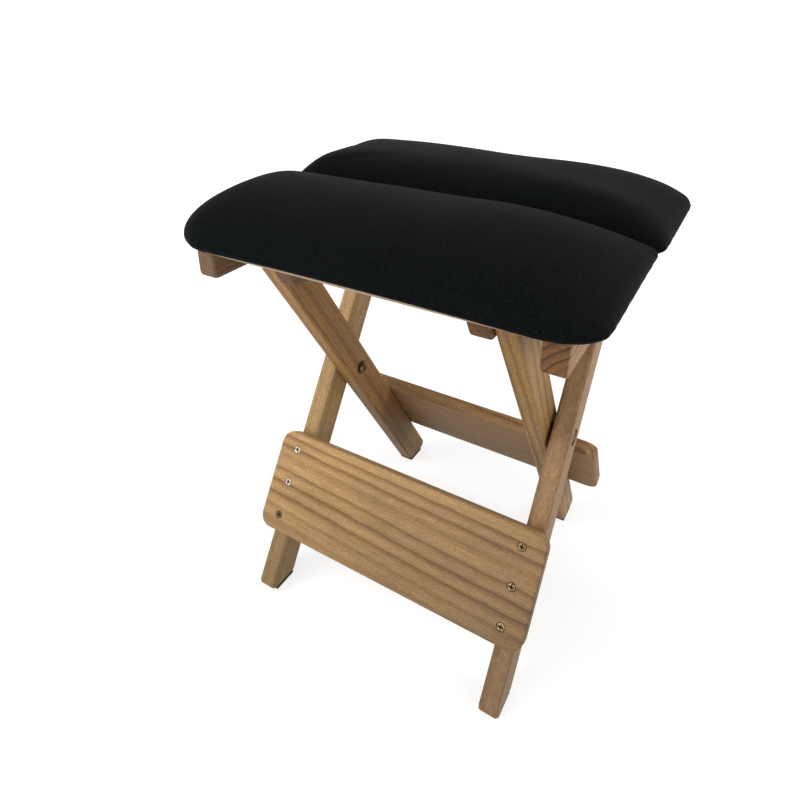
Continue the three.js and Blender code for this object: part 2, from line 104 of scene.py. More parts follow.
class Surface:
    """A material made of nodes, with a short call for each kind of node that it uses."""

    def __init__(self, name, metallic=0.0, specular=0.5):
        self.material = bpy.data.materials.new(name)
        self.material.use_nodes = True
        self.tree = self.material.node_tree
        self.shader = self.tree.nodes["Principled BSDF"]
        self.shader.inputs["Metallic"].default_value = metallic
        self.shader.inputs["Specular IOR Level"].default_value = specular
        coordinates = self.tree.nodes.new("ShaderNodeTexCoord")
        self.place = coordinates.outputs["Object"]
        self.normal = coordinates.outputs["Normal"]

    def put(self, socket, value):
        if isinstance(value, bpy.types.NodeSocket):
            self.tree.links.new(value, socket)
        else:
            socket.default_value = value

    def maths(self, operation, *values):
        node = self.tree.nodes.new("ShaderNodeMath")
        node.operation = operation
        for socket, value in zip(node.inputs, values):
            self.put(socket, value)
        return node.outputs["Value"]

    def vectors(self, operation, *values):
        node = self.tree.nodes.new("ShaderNodeVectorMath")
        node.operation = operation
        for socket, value in zip(node.inputs, values):
            self.put(socket, value)
        single = operation in ("DOT_PRODUCT", "LENGTH")
        return node.outputs["Value" if single else "Vector"]

    def mapped(self, vector, location=(0, 0, 0), rotation=(0, 0, 0), scale=(1, 1, 1)):
        node = self.tree.nodes.new("ShaderNodeMapping")
        self.put(node.inputs["Vector"], vector)
        node.inputs["Location"].default_value = location
        node.inputs["Rotation"].default_value = rotation
        node.inputs["Scale"].default_value = scale
        return node.outputs["Vector"]

    def split(self, vector):
        node = self.tree.nodes.new("ShaderNodeSeparateXYZ")
        self.put(node.inputs["Vector"], vector)
        return node.outputs["X"], node.outputs["Y"], node.outputs["Z"]

    def joined(self, x, y, z):
        node = self.tree.nodes.new("ShaderNodeCombineXYZ")
        for name, value in zip("XYZ", (x, y, z)):
            self.put(node.inputs[name], value)
        return node.outputs["Vector"]

    def noise(self, vector, scale=1.0, detail=2.0, roughness=0.5, distortion=0.0):
        node = self.tree.nodes.new("ShaderNodeTexNoise")
        self.put(node.inputs["Vector"], vector)
        node.inputs["Scale"].default_value = scale
        node.inputs["Detail"].default_value = detail
        node.inputs["Roughness"].default_value = roughness
        node.inputs["Distortion"].default_value = distortion
        return node.outputs["Fac"]

    def noise_along_line(self, value, scale):
        node = self.tree.nodes.new("ShaderNodeTexNoise")
        node.noise_dimensions = "1D"
        self.put(node.inputs["W"], value)
        node.inputs["Scale"].default_value = scale
        node.inputs["Detail"].default_value = 1
        return node.outputs["Fac"]

    def chance(self, value):
        node = self.tree.nodes.new("ShaderNodeTexWhiteNoise")
        node.noise_dimensions = "1D"
        self.put(node.inputs["W"], value)
        return node.outputs["Value"]

    def cells(self, vector, scale):
        node = self.tree.nodes.new("ShaderNodeTexVoronoi")
        self.put(node.inputs["Vector"], vector)
        node.inputs["Scale"].default_value = scale
        return node.outputs["Distance"]

    def spread(self, value, low, high, out_low=0.0, out_high=1.0, smooth=False):
        node = self.tree.nodes.new("ShaderNodeMapRange")
        node.interpolation_type = "SMOOTHSTEP" if smooth else "LINEAR"
        for name, setting in zip(("Value", "From Min", "From Max", "To Min", "To Max"),
                                 (value, low, high, out_low, out_high)):
            self.put(node.inputs[name], setting)
        return node.outputs["Result"]

    def curve(self, value, stops):
        node = self.tree.nodes.new("ShaderNodeValToRGB")
        ramp = node.color_ramp
        ramp.interpolation = "EASE"
        while len(ramp.elements) < len(stops):
            ramp.elements.new(0.5)
        for element, (position, level) in zip(ramp.elements, stops):
            element.position = position
            element.color = (level, level, level, 1)
        self.put(node.inputs["Fac"], value)
        return node.outputs["Color"]

    def mix(self, share, first, second, blend="MIX"):
        node = self.tree.nodes.new("ShaderNodeMix")
        node.data_type = "RGBA"
        node.blend_type = blend
        self.put(node.inputs["Factor"], share)
        self.put(node.inputs[MIX_FIRST_COLOUR], first)
        self.put(node.inputs[MIX_SECOND_COLOUR], second)
        return node.outputs[MIX_COLOUR]

    def bump(self, height, distance, strength=1.0):
        node = self.tree.nodes.new("ShaderNodeBump")
        node.inputs["Distance"].default_value = distance
        node.inputs["Strength"].default_value = strength
        self.put(node.inputs["Height"], height)
        return node.outputs["Normal"]

    def finish(self, colour, roughness, normal):
        self.put(self.shader.inputs["Base Color"], colour)
        self.put(self.shader.inputs["Roughness"], roughness)
        self.put(self.shader.inputs["Normal"], normal)
        return self.material


@dataclass
class Grain:
    """How one piece was cut from its tree, and its colours.

    The early and late colours are those of a year's spring and summer wood, and the ring is one year's
    growth. The pith is where the tree's middle runs, measured from the piece's middle across its width and
    through its thickness. The slants are how far the pith drifts that way per unit of length. The darkening
    is painted shade: a loss of brightness per metre along and across, painted where light falls off.
    """
    early: tuple
    late: tuple
    ring: float
    pith_across: float
    pith_deep: float
    slant: float = 0.0
    slant_deep: float = 0.0
    waviness: float = 4 * MM
    contrast: float = 0.75
    seed: float = 0.0
    unevenness: float = 0.9
    painted_shade_along: float = 0.0
    painted_shade_across: float = 0.0
    end_darkness: float = 0.6


WOOD_SPECULAR = 0.3
WOOD_ROUGHNESS = (0.5, 0.64)
SEASON = [(0, 0.35), (0.2, 0), (0.5, 0.12), (0.8, 0.6), (0.93, 1), (1, 0.35)]
YEARS_UNEVENNESS_SCALE = 0.7
WEAKEST_YEAR = 0.4
FIBRE_CHANGE = 0.24
SPECKLE_CHANGE = 0.28
STREAK_CHANGE = 0.1
CLOUD_CHANGE = 0.18
SHADE_SPAN = (0.25, 0.75)
STREAK_SPAN = (0.2, 0.8)
WORN_EDGE = 2 * MM
WORN_EDGE_DARKNESS = 0.2
END_GRAIN_TURN = (0.5, 0.8)
END_GRAIN_TINT = (0.42, 0.31, 0.25, 1)
FIBRE_DEPTH = 0.18 * MM
LATE_WOOD_RELIEF = 0.5
WOOD_RELIEF = 0.6
WAVES_PER_METRE = (2.5, 11, 11)
CLOUDS_PER_METRE = (11, 38, 38)
STREAKS_PER_METRE = (7, 240, 240)
FIBRES_PER_METRE = (70, 1300, 1300)
SPECKLES_PER_METRE = (330, 800, 800)
RIPPLES_PER_METRE = (45, 130, 130)
RIPPLE = 1.1 * MM


def year_rings(surface, inside, shifted, grain):
    """How much summer wood shows at a place: rings round the pith, with some years stronger than others."""
    wave = surface.noise(surface.mapped(shifted, scale=WAVES_PER_METRE), detail=2)
    ripple = surface.noise(surface.mapped(shifted, scale=RIPPLES_PER_METRE), detail=1)
    wander = surface.maths("MULTIPLY", surface.maths("SUBTRACT", wave, 0.5), 2 * grain.waviness)
    wander = surface.maths("MULTIPLY_ADD", surface.maths("SUBTRACT", ripple, 0.5), 2 * RIPPLE, wander)
    x, y, z = surface.split(inside)
    pith_y = surface.maths("MULTIPLY_ADD", x, grain.slant, grain.pith_across)
    pith_z = surface.maths("MULTIPLY_ADD", x, grain.slant_deep, grain.pith_deep)
    from_pith = surface.joined(0, surface.maths("SUBTRACT", y, pith_y), surface.maths("SUBTRACT", z, pith_z))
    radius = surface.maths("ADD", surface.vectors("LENGTH", from_pith), wander)
    years = surface.maths("DIVIDE", radius, grain.ring)
    uneven = surface.noise_along_line(years, YEARS_UNEVENNESS_SCALE)
    years = surface.maths("MULTIPLY_ADD", uneven, grain.unevenness, years)
    late = surface.curve(surface.maths("FRACT", years), SEASON)
    year = surface.maths("ADD", surface.maths("FLOOR", years), grain.seed)
    year_strength = surface.spread(surface.chance(year), 0, 1, WEAKEST_YEAR, 1)
    return surface.maths("MULTIPLY", surface.maths("MULTIPLY", late, year_strength), grain.contrast)


def wood(name, along, across, centre, half_width, half_thickness, grain):
    """Sawn pine: year rings round a far pith, so faces show long bands and ends show arcs."""
    surface = Surface(name, specular=WOOD_SPECULAR)
    turn = Matrix((along, across, along.cross(across)))
    inside = surface.mapped(surface.place, location=-(turn @ centre), rotation=turn.to_euler())
    shifted = surface.vectors("ADD", inside, (grain.seed, 0, 0))
    lateness = year_rings(surface, inside, shifted, grain)
    colour = surface.mix(lateness, grain.early, grain.late)

    cloud = surface.noise(surface.mapped(shifted, scale=CLOUDS_PER_METRE), detail=3)
    streak = surface.noise(surface.mapped(shifted, scale=STREAKS_PER_METRE), detail=3, roughness=0.6)
    fibre = surface.noise(surface.mapped(shifted, scale=FIBRES_PER_METRE), detail=2, roughness=0.6)
    speckle = surface.noise(surface.mapped(shifted, scale=SPECKLES_PER_METRE), detail=2, roughness=0.6)
    shade = 1.0
    for value, change in ((cloud, CLOUD_CHANGE), (streak, STREAK_CHANGE), (fibre, FIBRE_CHANGE),
                          (speckle, SPECKLE_CHANGE)):
        level = surface.spread(value, *SHADE_SPAN, 1 - change, 1 + change)
        shade = surface.maths("MULTIPLY", shade, level)

    x, y, z = surface.split(inside)
    # Painted shade: darkens the colour per metre along and across the piece, where light falls off.
    painted_shade_along = surface.maths("MULTIPLY", x, grain.painted_shade_along)
    painted_darkening = surface.maths("MULTIPLY_ADD", y, grain.painted_shade_across, painted_shade_along)
    shade = surface.maths("MULTIPLY", shade, surface.maths("SUBTRACT", 1, painted_darkening))
    edges = [surface.spread(surface.maths("ABSOLUTE", value), half - WORN_EDGE, half, smooth=True)
             for value, half in ((y, half_width), (z, half_thickness))]
    worn = surface.maths("MULTIPLY", *edges)
    shade = surface.maths("MULTIPLY", shade, surface.spread(worn, 0, 1, 1, 1 - WORN_EDGE_DARKNESS))

    end_on = surface.maths("ABSOLUTE", surface.vectors("DOT_PRODUCT", surface.normal, tuple(along)))
    end_grain = surface.spread(end_on, *END_GRAIN_TURN, 0, grain.end_darkness, smooth=True)
    colour = surface.mix(end_grain, colour, END_GRAIN_TINT, "MULTIPLY")
    colour = surface.vectors("SCALE", colour)
    surface.put(colour.node.inputs["Scale"], shade)

    relief = surface.maths("MULTIPLY_ADD", lateness, LATE_WOOD_RELIEF, fibre)
    roughness = surface.spread(streak, *STREAK_SPAN, *WOOD_ROUGHNESS)
    return surface.finish(colour, roughness, surface.bump(relief, FIBRE_DEPTH, WOOD_RELIEF))


PLY_THICKNESS = 1.8 * MM
PLIES_PER_METRE = 1 / PLY_THICKNESS
PLY_PALE = tone(196, 178, 150)
PLY_FIGURED = tone(178, 158, 128)
PLY_TURNED = tone(172, 152, 120)
PLY_FIBRE = tone(150, 126, 96)
PLY_GLUE = tone(120, 98, 74)
PLY_FIBRE_STRENGTH = 0.3
PLY_GLUE_STRENGTH = 0.5
PLY_FIGURES_PER_METRE = (6, 60, 60)
PLY_FIBRES_PER_METRE = (60, 900, 900)
GLUE_LINE_SHARE = 0.07
PLY_ROUGHNESS = 0.6
PLY_RELIEF = 0.4


def plywood(name, underside):
    """Thin layers with the grain turned in every other one, seen as stripes at the edges."""
    surface = Surface(name)
    height = surface.split(surface.place)[2]
    layer = surface.maths("MULTIPLY", surface.maths("SUBTRACT", height, underside), PLIES_PER_METRE)
    turned = surface.maths("GREATER_THAN", surface.maths("FRACT", surface.maths("DIVIDE", layer, 2)), 0.5)
    glue = surface.spread(surface.maths("PINGPONG", layer, 0.5), 0, GLUE_LINE_SHARE, 1, 0, smooth=True)
    long_figure = surface.mapped(surface.place, scale=PLY_FIGURES_PER_METRE)
    figure = surface.noise(long_figure, detail=4, distortion=0.8)
    fibre = surface.noise(surface.mapped(surface.place, scale=PLY_FIBRES_PER_METRE), detail=2)
    colour = surface.mix(surface.spread(figure, *NOISE_SPAN), PLY_PALE, PLY_FIGURED)
    colour = surface.mix(turned, colour, PLY_TURNED)
    colour = surface.mix(surface.maths("MULTIPLY", fibre, PLY_FIBRE_STRENGTH), colour, PLY_FIBRE)
    colour = surface.mix(surface.maths("MULTIPLY", glue, PLY_GLUE_STRENGTH), colour, PLY_GLUE)
    return surface.finish(colour, PLY_ROUGHNESS, surface.bump(fibre, FIBRE_DEPTH, PLY_RELIEF))


LEATHER_BLACK = tone(6, 8, 10)
LEATHER_CLOUD = tone(9, 11, 13)
LEATHER_SPECKLE = tone(24, 27, 28)
LEATHER_SPECKLE_SPAN = (0.35, 0.8)
LEATHER_SPECULAR = 0.009
LEATHER_SHEEN = 0.015
LEATHER_ROUGHNESS = (0.54, 0.62)
LEATHER_GRAINS_PER_METRE = 1500
LEATHER_SPECKLES_PER_METRE = 800
LEATHER_CLOUDS_PER_METRE = 14
LEATHER_BENDS_PER_METRE = 420
LEATHER_BEND = 0.4 * MM
LEATHER_GRAIN_DEPTH = 0.16 * MM
LEATHER_RELIEF = 0.5


def leatherette(name):
    """Black artificial leather: a fine pebbled skin, matt, slightly uneven in its darkness."""
    surface = Surface(name, specular=LEATHER_SPECULAR)
    surface.shader.inputs["Sheen Weight"].default_value = LEATHER_SHEEN
    bend = surface.maths("MULTIPLY", surface.noise(surface.place, LEATHER_BENDS_PER_METRE), LEATHER_BEND)
    bent = surface.vectors("ADD", surface.place, surface.joined(bend, bend, 0))
    pebbles = surface.cells(bent, LEATHER_GRAINS_PER_METRE)
    cloud = surface.noise(surface.place, LEATHER_CLOUDS_PER_METRE, detail=3)
    speckle = surface.noise(surface.place, LEATHER_SPECKLES_PER_METRE, roughness=0.7)
    colour = surface.mix(surface.spread(cloud, *NOISE_SPAN), LEATHER_BLACK, LEATHER_CLOUD)
    colour = surface.mix(surface.spread(speckle, *LEATHER_SPECKLE_SPAN), colour, LEATHER_SPECKLE)
    roughness = surface.spread(cloud, *NOISE_SPAN, *LEATHER_ROUGHNESS)
    return surface.finish(colour, roughness, surface.bump(pebbles, LEATHER_GRAIN_DEPTH, LEATHER_RELIEF))


RUBBER_BLACK = tone(20, 20, 20)
DUST = tone(48, 45, 42)
DUST_SPAN = (0.45, 0.75)
RUBBER_SPECULAR = 0.3
RUBBER_ROUGHNESS = (0.7, 0.92)
DUST_PER_METRE = 260
DUST_DEPTH = 0.2 * MM
DUST_RELIEF = 0.4


def rubber(name):
    """Black rubber with a little dust on it."""
    surface = Surface(name, specular=RUBBER_SPECULAR)
    dust = surface.noise(surface.place, DUST_PER_METRE, detail=4)
    colour = surface.mix(surface.spread(dust, *DUST_SPAN), RUBBER_BLACK, DUST)
    roughness = surface.spread(dust, *NOISE_SPAN, *RUBBER_ROUGHNESS)
    return surface.finish(colour, roughness, surface.bump(dust, DUST_DEPTH, DUST_RELIEF))


RIM_SHARES = (0.8, 0.95)
RECESS_SHARES = (0.5, 0.65)
RECESS_DEPTH = 1.2 * MM
RECESS_LIP = 0.3 * MM
# The colour of dirt and painted shade round a fastener's rim and in its recess.
SHADE_AND_DIRT = tone(48, 36, 26)
SHADE_AND_DIRT_STRENGTH = 0.9
SHADE_AND_DIRT_ROUGHNESS = 0.35
STEEL_ROUGHNESS = (0.28, 0.5)
STAIN_SPAN = (0.4, 0.62)
STAINS_PER_METRE = 420
STAIN_DEPTH = 0.08 * MM
STAIN_RELIEF = 0.6


def steel(name, node, axis, clean, stained):
    """Plated steel of one fastener, stained in patches, with dirt and painted shade darkening its rim and
    its recess.
    """
    surface = Surface(name, metallic=1.0)
    places = [vertex.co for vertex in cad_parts[node].data.vertices]
    side = axis.orthogonal().normalized()
    centre = Vector()
    for direction in (axis, side, axis.cross(side)):
        reaches = [place.dot(direction) for place in places]
        centre += direction * (min(reaches) + max(reaches)) / 2
    end = max((place - centre).dot(axis) for place in places)
    radius = max((place - centre).cross(axis).length for place in places)
    offset = surface.vectors("SUBTRACT", surface.place, tuple(centre))
    along = surface.maths("ABSOLUTE", surface.vectors("DOT_PRODUCT", offset, tuple(axis)))
    from_axis = surface.vectors("LENGTH", surface.vectors("CROSS_PRODUCT", offset, tuple(axis)))
    # Dirt and painted shade: the rim is darkened as a shadow ring round the head, and the recess as shade
    # inside it.
    rim = surface.spread(from_axis, *(share * radius for share in RIM_SHARES), smooth=True)
    sunk = surface.spread(along, end - RECESS_DEPTH, end - RECESS_LIP, 1, 0, smooth=True)
    inner = surface.spread(from_axis, *(share * radius for share in RECESS_SHARES), 1, 0, smooth=True)
    shade_and_dirt = surface.maths("MAXIMUM", rim, surface.maths("MULTIPLY", sunk, inner))
    patches = surface.noise(surface.place, STAINS_PER_METRE, detail=4)
    colour = surface.mix(surface.spread(patches, *STAIN_SPAN), clean, stained)
    colour = surface.mix(surface.maths("MULTIPLY", shade_and_dirt, SHADE_AND_DIRT_STRENGTH), colour, SHADE_AND_DIRT)
    roughness = surface.spread(patches, *NOISE_SPAN, *STEEL_ROUGHNESS)
    roughness = surface.maths("MULTIPLY_ADD", shade_and_dirt, SHADE_AND_DIRT_ROUGHNESS, roughness)
    return surface.finish(colour, roughness, surface.bump(patches, STAIN_DEPTH, STAIN_RELIEF))


def dress(node, material):
    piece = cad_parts[node]
    piece.data.materials.clear()
    piece.data.materials.append(material)


pivot = middle("leg_pivot_bolt_left")

# Each leg's darkening along it is painted shade, darker towards its foot.
LEG_GRAINS = {
    "outer_leg_left": Grain(
        early=tone(178, 144, 96), late=tone(147, 110, 67), ring=7 * MM, pith_across=-60 * MM,
        pith_deep=52 * MM, contrast=0.7, seed=1.3, painted_shade_along=-1.5),
    "outer_leg_right": Grain(
        early=tone(155, 121, 84), late=tone(126, 91, 57), ring=7.4 * MM, pith_across=62 * MM,
        pith_deep=40 * MM, contrast=0.65, seed=7.9, painted_shade_along=-1.1),
    "inner_leg_left": Grain(
        early=tone(160, 119, 68), late=tone(84, 50, 22), ring=3.8 * MM, pith_across=-74 * MM,
        pith_deep=16 * MM, slant=0.012, slant_deep=0.01, waviness=8 * MM, contrast=0.9, seed=3.1,
        unevenness=1.4, painted_shade_along=-1.6),
    "inner_leg_right": Grain(
        early=tone(160, 124, 74), late=tone(104, 68, 32), ring=8.4 * MM, pith_across=-40 * MM,
        pith_deep=-44 * MM, slant=0.05, contrast=0.95, seed=5.7),
}
for name, grain in LEG_GRAINS.items():
    upward = OUTER_LEG_UP if name.startswith("outer") else INNER_LEG_UP
    centre = Vector((middle(name).x, pivot.y, pivot.z))
    dress(name, wood(f"{name}_wood", upward, upward.cross(ACROSS), centre,
                     LEG_WIDTH / 2, TIMBER_THICKNESS / 2, grain))

# The boards' darkening is painted shade: the front board darker towards its lower right, the rear board
# towards its left end.
BOARD_GRAINS = {
    "front_board": Grain(
        early=tone(163, 129, 85), late=tone(92, 54, 16), ring=12.8 * MM, pith_across=-204 * MM,
        pith_deep=42 * MM, slant=-0.03, slant_deep=0.02, waviness=6 * MM, contrast=0.82, seed=2.2,
        unevenness=0.6, painted_shade_along=1.6, painted_shade_across=-3),
    "rear_board": Grain(
        early=tone(162, 126, 83), late=tone(102, 66, 34), ring=7 * MM, pith_across=90 * MM,
        pith_deep=30 * MM, slant=0.04, slant_deep=0.03, waviness=5 * MM, contrast=0.8, seed=9.4,
        unevenness=0.9, painted_shade_along=-1),
}
for name, grain in BOARD_GRAINS.items():
    upward = OUTER_LEG_UP if name == "front_board" else INNER_LEG_UP
    dress(name, wood(f"{name}_wood", ACROSS, upward, middle(name),
                     BOARD_WIDTH / 2, BOARD_THICKNESS / 2, grain))

RAIL_GRAINS = {
    "front_seat_rail_left": Grain(
        early=tone(132, 104, 78), late=tone(76, 54, 36), ring=5.4 * MM, pith_across=90 * MM,
        pith_deep=20 * MM, seed=4.4, end_darkness=0.3),
    "front_seat_rail_right": Grain(
        early=tone(164, 124, 78), late=tone(66, 38, 20), ring=5.4 * MM, pith_across=-46 * MM,
        pith_deep=40 * MM, waviness=1.5 * MM, contrast=1, seed=6.2, unevenness=0.5, end_darkness=0.85),
    "rear_seat_rail_left": Grain(
        early=tone(140, 104, 68), late=tone(88, 58, 34), ring=2.6 * MM, pith_across=4 * MM,
        pith_deep=60 * MM, seed=8.8),
    "rear_seat_rail_right": Grain(
        early=tone(156, 116, 72), late=tone(48, 30, 18), ring=3 * MM, pith_across=16 * MM,
        pith_deep=90 * MM, waviness=1 * MM, contrast=0.95, seed=0.7, end_darkness=0.85),
}
for name, grain in RAIL_GRAINS.items():
    low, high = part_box(name)
    dress(name, wood(f"{name}_wood", FORWARD, UP, middle(name),
                     (high.z - low.z) / 2, TIMBER_THICKNESS / 2, grain))

for half in ("front", "rear"):
    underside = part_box(f"{half}_seat_base")[0].z
    dress(f"{half}_seat_base", plywood(f"{half}_seat_plywood", underside))

# Fasteners, each with its clean and its stained colour, and foot pads

# Painted light: two left screws are painted bright, as if lit and reflecting the white surround, and the
# other screws and bolts darker bronze, as if shaded.
PAINTED_LIT_STEEL = (tone(214, 204, 188), tone(140, 128, 108))
SHADED_BRONZE = (tone(120, 102, 76), tone(80, 64, 44))
DULL = (tone(84, 74, 60), tone(52, 44, 34))
PAINTED_LIT_SCREWS = ("front_board_screw_left_top", "front_board_screw_left_middle")


def fastener_colours(name):
    if name in PAINTED_LIT_SCREWS:
        return PAINTED_LIT_STEEL
    return DULL if "nut" in name or "washer" in name else SHADED_BRONZE


def fastener_axis(name):
    if name.startswith("front_board"):
        return ACROSS.cross(OUTER_LEG_UP)
    if name.startswith("rear_board"):
        return ACROSS.cross(INNER_LEG_UP)
    return UP if "screw" in name else ACROSS


black_rubber = rubber("black_rubber")
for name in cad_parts:
    if any(word in name for word in ("screw", "bolt", "nut", "washer")):
        dress(name, steel(f"{name}_steel", name, fastener_axis(name), *fastener_colours(name)))
    elif "foot_pad" in name:
        dress(name, black_rubber)


# Cushions


@dataclass
class CushionForm:
    """The form of one seat half, seen with its seam towards +Y.

    It holds the reaches from the middle, the corners' radii in plan, how high the widest place and the
    crown rise, how far in from each edge the top takes to rise to the crown, and how plump it is there.
    """
    left: float
    right: float
    outer_edge: float
    seam_edge: float
    outer_left_radius: float
    outer_right_radius: float
    seam_radius: float
    bulge_rise: float
    crown_rise: float
    left_slope: float
    right_slope: float
    outer_slope: float
    seam_slope: float
    left_power: float
    right_power: float
    outer_power: float
    outer_left_power: float
    seam_power: float
    dip: float = 0.0


FRONT_FORM = CushionForm(
    left=175.5 * MM, right=178.5 * MM, outer_edge=167.5 * MM, seam_edge=0.4 * MM,
    outer_left_radius=46 * MM, outer_right_radius=23 * MM, seam_radius=5 * MM,
    bulge_rise=9 * MM, crown_rise=34 * MM,
    left_slope=36 * MM, right_slope=118 * MM, outer_slope=105 * MM, seam_slope=72 * MM,
    left_power=1.8, right_power=1.75, outer_power=1.45, outer_left_power=2.2, seam_power=1.9)
REAR_FORM = CushionForm(
    left=182 * MM, right=180 * MM, outer_edge=162 * MM, seam_edge=0.6 * MM,
    outer_left_radius=38 * MM, outer_right_radius=34 * MM, seam_radius=8 * MM,
    bulge_rise=10 * MM, crown_rise=33.5 * MM,
    left_slope=118 * MM, right_slope=44 * MM, outer_slope=66 * MM, seam_slope=34 * MM,
    left_power=1.65, right_power=1.9, outer_power=1.7, outer_left_power=1.7, seam_power=2.2, dip=3 * MM)
LEFT_END = 110 * MM
DIP_WIDTH = 60 * MM
DIP_PLACE = 30 * MM
DIP_POWER = 2
PEAK_POWER = 2.1
COVER_THICKNESS = 1.6 * MM
HEM_DROP = 0.4 * MM
HEM_SAG = 1.8 * MM
HEM_SAG_REACH = 130 * MM
BASE_GAP = 0.4 * MM
BASE_CORNER_RADIUS = 36 * MM
BASE_SEAM_RADIUS = 8 * MM
CELL = 5 * MM
TUCK_STEPS = 3
EASING_STEPS = 7
UNEASED_ROWS = 2
CLOTH_FRAMES = 20
CLOTH_QUALITY = 6
CLOTH_MASS = 0.3
CLOTH_PRESSURE = 4
CLOTH_CAP = 5 * MM
PLEAT_SPACING = 7 * MM
PLEAT_DEPTH = 0.8 * MM
PLEAT_RISE = 11 * MM
PLEAT_DRIFT = 3
PLEAT_DRIFT_SPACING = 3 * PLEAT_SPACING
DENT_DEPTH = 0.8 * MM
DENTS_PER_METRE = 16
DENT_SEEDS = {"front": 7.3, "rear": 12.3}
PLEAT_SEEDS = {"front": 0, "rear": 1}


def slope(distance, reach, edge_power):
    """Rises from 0 at the edge to 1 at the reach, steep first and level at the end."""
    share = min(max(distance / reach, 0), 1)
    return (1 - (1 - share) ** PEAK_POWER) ** (1 / edge_power)


def rounded(x, y, low, high, radius_at):
    """Pulls a point of a rectangle's grid into the rectangle's rounded outline, with no fold between."""
    radius = radius_at(x, y)
    over_x = max(low[0] + radius - x, x - high[0] + radius, 0)
    over_y = max(low[1] + radius - y, y - high[1] + radius, 0)
    middle_x, middle_y = (low[0] + high[0]) / 2, (low[1] + high[1]) / 2
    inward_x = over_x * (1 - math.sqrt(1 - (over_y / radius) ** 2 / 2))
    inward_y = over_y * (1 - math.sqrt(1 - (over_x / radius) ** 2 / 2))
    return x - math.copysign(inward_x, x - middle_x), y - math.copysign(inward_y, y - middle_y)


def cushion_mesh(half, form):
    """The mesh of a crowned half whose sides tuck in under its widest place to the base's edge.

    Its result is the mesh, the numbers of the points that the cloth holds, and the widest place's height.
    """
    cover_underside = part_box(f"{half}_seat_cover")[0].z
    base_low, base_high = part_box(f"{half}_seat_base")
    base_outer = -max(abs(base_low.y), abs(base_high.y))
    base_seam = -min(abs(base_low.y), abs(base_high.y))
    bulge_height = base_low.z + form.bulge_rise
    seat_height = base_high.z + BASE_GAP
    low, high = (-form.left, -form.outer_edge), (form.right, -form.seam_edge)
    columns = round((form.left + form.right) / CELL)
    rows = round((form.outer_edge - form.seam_edge) / CELL)

    def on_grid(column, row, low, high):
        return (low[0] + (high[0] - low[0]) * column / columns,
                low[1] + (high[1] - low[1]) * row / rows)

    def bulge_radius(x, y):
        if y > (low[1] + high[1]) / 2:
            return form.seam_radius
        return form.outer_left_radius if x < 0 else form.outer_right_radius

    def bulge(column, row):
        return rounded(*on_grid(column, row, low, high), low, high, bulge_radius)

    def hem(column, row, beyond):
        hem_low = (base_low.x - beyond, base_outer - beyond)
        hem_high = (base_high.x + beyond, base_seam + beyond)

        def hem_radius(x, y):
            return beyond + (BASE_SEAM_RADIUS if y > base_outer / 2 else BASE_CORNER_RADIUS)

        return rounded(*on_grid(column, row, hem_low, hem_high), hem_low, hem_high, hem_radius)

    def hem_height(column, row):
        from_middle = min(abs(hem(column, row, BASE_GAP)[0]) / HEM_SAG_REACH, 1)
        return cover_underside - HEM_DROP - HEM_SAG * from_middle ** 2

    def top_height(column, row):
        x, y = on_grid(column, row, low, high)
        from_left = min((x + form.left) / LEFT_END, 1)
        outer_power = form.outer_left_power + (form.outer_power - form.outer_left_power) * from_left
        rise = (slope(x + form.left, form.left_slope, form.left_power)
                * slope(form.right - x, form.right_slope, form.right_power)
                * slope(y + form.outer_edge, form.outer_slope, outer_power)
                * slope(-form.seam_edge - y, form.seam_slope, form.seam_power))
        across = (slope(y + form.outer_edge, DIP_WIDTH, DIP_POWER)
                  * slope(-form.seam_edge - y, DIP_WIDTH, DIP_POWER))
        dip = form.dip * across * math.exp(-((x + DIP_PLACE) / DIP_WIDTH) ** 2)
        return bulge_height + form.crown_rise * rise - dip

    border = [(column, 0) for column in range(columns)]
    border += [(columns, row) for row in range(rows)]
    border += [(column, rows) for column in range(columns, 0, -1)]
    border += [(0, row) for row in range(rows, 0, -1)]
    points = []
    faces = []

    def eased(heights):
        """Softens the ridges of a grid of heights, leaving the rows next to its border as they are."""
        for _ in range(EASING_STEPS):
            before = heights
            heights = [list(line) for line in before]
            for row in range(UNEASED_ROWS, rows - UNEASED_ROWS + 1):
                for column in range(UNEASED_ROWS, columns - UNEASED_ROWS + 1):
                    heights[row][column] = (2 * before[row][column]
                                            + before[row - 1][column] + before[row + 1][column]
                                            + before[row][column - 1] + before[row][column + 1]) / 6
        return heights

    def sheet(place_of, height_of, upward):
        start = len(points)
        heights = [[height_of(column, row) for column in range(columns + 1)] for row in range(rows + 1)]
        for row, levels in enumerate(eased(heights)):
            points.extend((*place_of(column, row), level) for column, level in enumerate(levels))
        for row in range(rows):
            for column in range(columns):
                near = start + row * (columns + 1) + column
                far = near + columns + 1
                corners = (near, near + 1, far + 1, far)
                faces.append(corners if upward else corners[::-1])
        return [start + row * (columns + 1) + column for column, row in border]

    def band(place_of):
        start = len(points)
        points.extend(place_of(column, row) for column, row in border)
        return list(range(start, len(points)))

    def tucked(column, row, angle):
        outer, inner = Vector(bulge(column, row)), Vector(hem(column, row, BASE_GAP + COVER_THICKNESS))
        height = bulge_height - (bulge_height - hem_height(column, row)) * math.sin(angle)
        return (*outer.lerp(inner, 1 - math.cos(angle)), height)

    loops = [sheet(bulge, top_height, True)]
    for step in range(1, TUCK_STEPS + 1):
        loops.append(band(lambda column, row: tucked(column, row, math.pi / 2 * step / TUCK_STEPS)))
    loops.append(band(lambda column, row: (*hem(column, row, BASE_GAP), hem_height(column, row))))
    loops.append(sheet(lambda column, row: hem(column, row, BASE_GAP),
                       lambda column, row: seat_height, False))
    for upper, lower in zip(loops, loops[1:]):
        for step in range(len(border)):
            following = (step + 1) % len(border)
            faces.append((upper[step], lower[step], lower[following], upper[following]))

    mesh = bpy.data.meshes.new(f"{half}_cushion")
    mesh.from_pydata(points, [], faces)
    mesh.update()
    return mesh, [number for number, point in enumerate(points) if point[2] <= bulge_height], bulge_height


